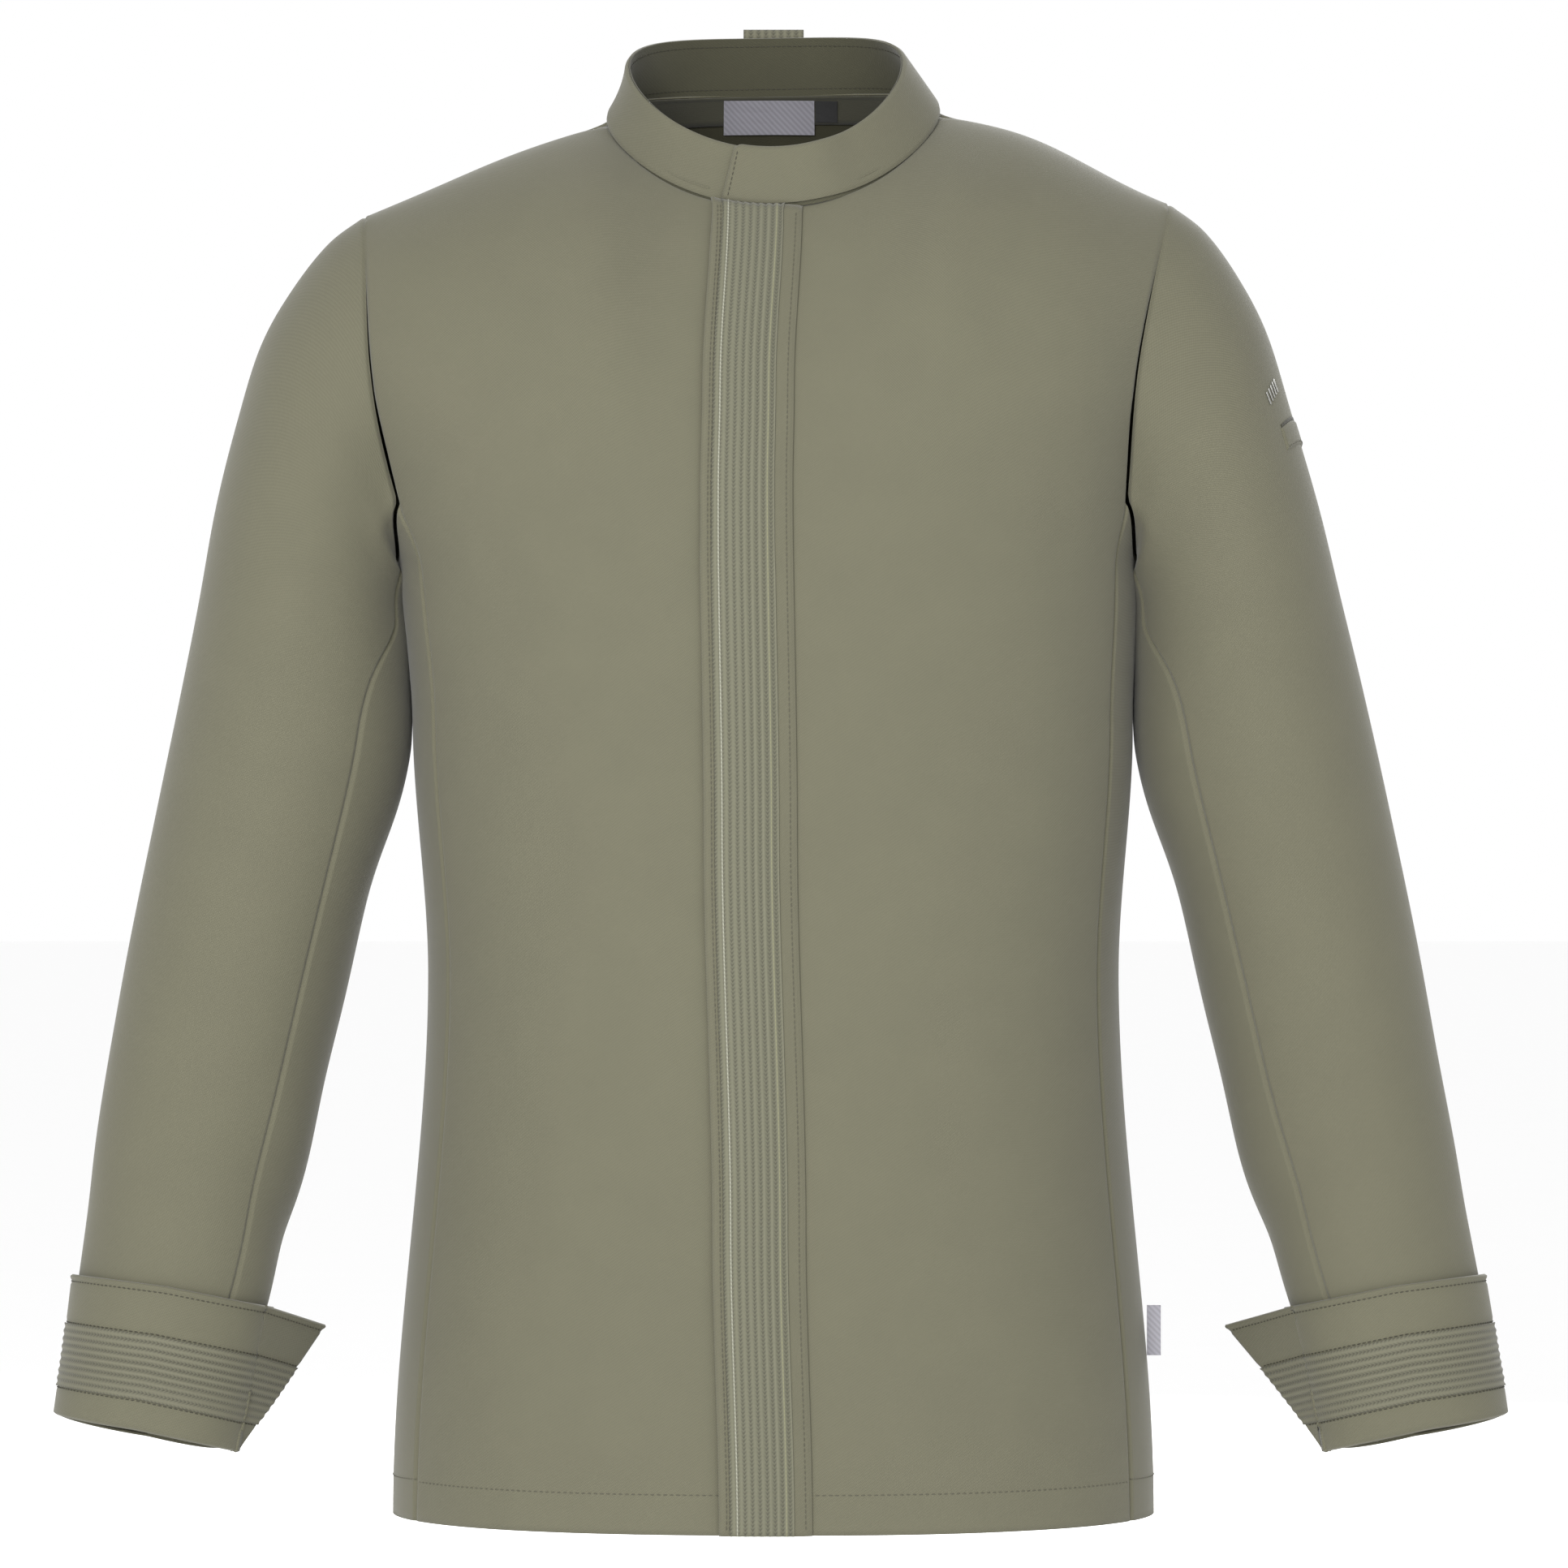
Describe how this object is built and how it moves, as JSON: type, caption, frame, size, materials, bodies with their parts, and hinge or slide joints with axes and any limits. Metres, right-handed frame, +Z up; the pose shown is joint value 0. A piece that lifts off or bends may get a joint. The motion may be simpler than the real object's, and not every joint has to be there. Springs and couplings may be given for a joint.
{
  "type": "chef's jacket",
  "caption": "Long-sleeved chef's jacket with a stand collar, ribbed-tape front placket on hidden press studs, turned-back cuffs, sleeve pocket and hanging loop.",
  "frame": {"origin": "midway between the shoulder points, where the wearer or hanger carries the jacket", "axes": "+Z up, -Y out of the front, +X towards the wearer's left"},
  "size_m": [0.7718, 0.2815, 0.806],
  "materials": {
    "twill": "matt fine twill, sage green",
    "lining": "matt cotton, shaded sage",
    "ribbed_tape": "knitted ribbed tape with a few off-white threads",
    "pale_label": "satin woven label",
    "dark_label": "black woven tab",
    "stud_metal": "lacquered metal snap"
  },
  "bodies": {
    "jacket_body": {"left_front": "twill", "right_front": "twill", "left_side_panel": "twill", "right_side_panel": "twill", "back_panel": "twill", "placket_band_upper": "twill", "placket_tape_upper": "ribbed_tape", "stud_post_1": "stud_metal", "stud_post_2": "stud_metal", "stud_post_3": "stud_metal", "stud_post_4": "stud_metal", "stud_post_5": "stud_metal", "stud_post_6": "stud_metal", "stud_post_7": "stud_metal", "stud_post_8": "stud_metal", "stud_socket_7": "stud_metal", "stud_socket_8": "stud_metal", "stud_post_collar": "stud_metal", "stud_socket_collar": "stud_metal", "collar": "twill", "collar_lining": "lining", "neck_tape": "lining", "neck_label": "pale_label"},
    "placket_flap": {"placket_band_lower": "twill", "placket_tape_lower": "ribbed_tape", "stud_socket_1": "stud_metal", "stud_socket_2": "stud_metal", "stud_socket_3": "stud_metal", "stud_socket_4": "stud_metal", "stud_socket_5": "stud_metal", "stud_socket_6": "stud_metal"},
    "left_sleeve": {"left_top_sleeve": "twill", "left_under_sleeve": "twill", "left_cuff_band": "twill", "left_cuff_tape": "ribbed_tape", "sleeve_pocket_welt": "twill", "sleeve_pocket_bag": "lining", "sleeve_badge": "dark_label"},
    "right_sleeve": {"right_top_sleeve": "twill", "right_under_sleeve": "twill", "right_cuff_band": "twill", "right_cuff_tape": "ribbed_tape"},
    "left_cuff_wing": {"left_cuff_wing": "twill"},
    "right_cuff_wing": {"right_cuff_wing": "twill"},
    "hanger_loop": {"hanger_loop": "ribbed_tape"},
    "size_tab": {"size_tab": "dark_label"},
    "side_label": {"side_label": "pale_label"}
  },
  "joints": [
    {"name": "left_sleeve_raise", "type": "hinge", "parent": "jacket_body", "child": "left_sleeve", "pos_m": [0.216, 0, 0.0008], "axis": [0, -1, 0], "range_deg": [0, 35]},
    {"name": "right_sleeve_raise", "type": "hinge", "parent": "jacket_body", "child": "right_sleeve", "pos_m": [-0.216, 0, 0.0008], "axis": [0, 1, 0], "range_deg": [0, 35]},
    {"name": "placket_open", "type": "hinge", "parent": "jacket_body", "child": "placket_flap", "pos_m": [0.0155, -0.1383, -0.451], "axis": [0, 0, 1], "range_deg": [0, 75]},
    {"name": "left_cuff_wing_fold", "type": "hinge", "parent": "left_sleeve", "child": "left_cuff_wing", "pos_m": [0.319, -0.0998, -0.6461], "axis": [-0.2656, 0.144, 0.9533], "range_deg": [-4, 30]},
    {"name": "right_cuff_wing_fold", "type": "hinge", "parent": "right_sleeve", "child": "right_cuff_wing", "pos_m": [-0.319, -0.0998, -0.6461], "axis": [-0.2656, -0.144, -0.9533], "range_deg": [-4, 30]},
    {"name": "hanger_loop_flip", "type": "hinge", "parent": "jacket_body", "child": "hanger_loop", "pos_m": [0, 0.0858, 0.0704], "axis": [-1, 0, 0], "range_deg": [0, 100]},
    {"name": "size_tab_flip", "type": "hinge", "parent": "jacket_body", "child": "size_tab", "pos_m": [0.029, 0.0725, 0.0656], "axis": [-1, 0, 0], "range_deg": [0, 70]},
    {"name": "side_label_flip", "type": "hinge", "parent": "jacket_body", "child": "side_label", "pos_m": [0.2007, -0.012, -0.6025], "axis": [0, 0, 1], "range_deg": [-50, 50]}
  ]
}
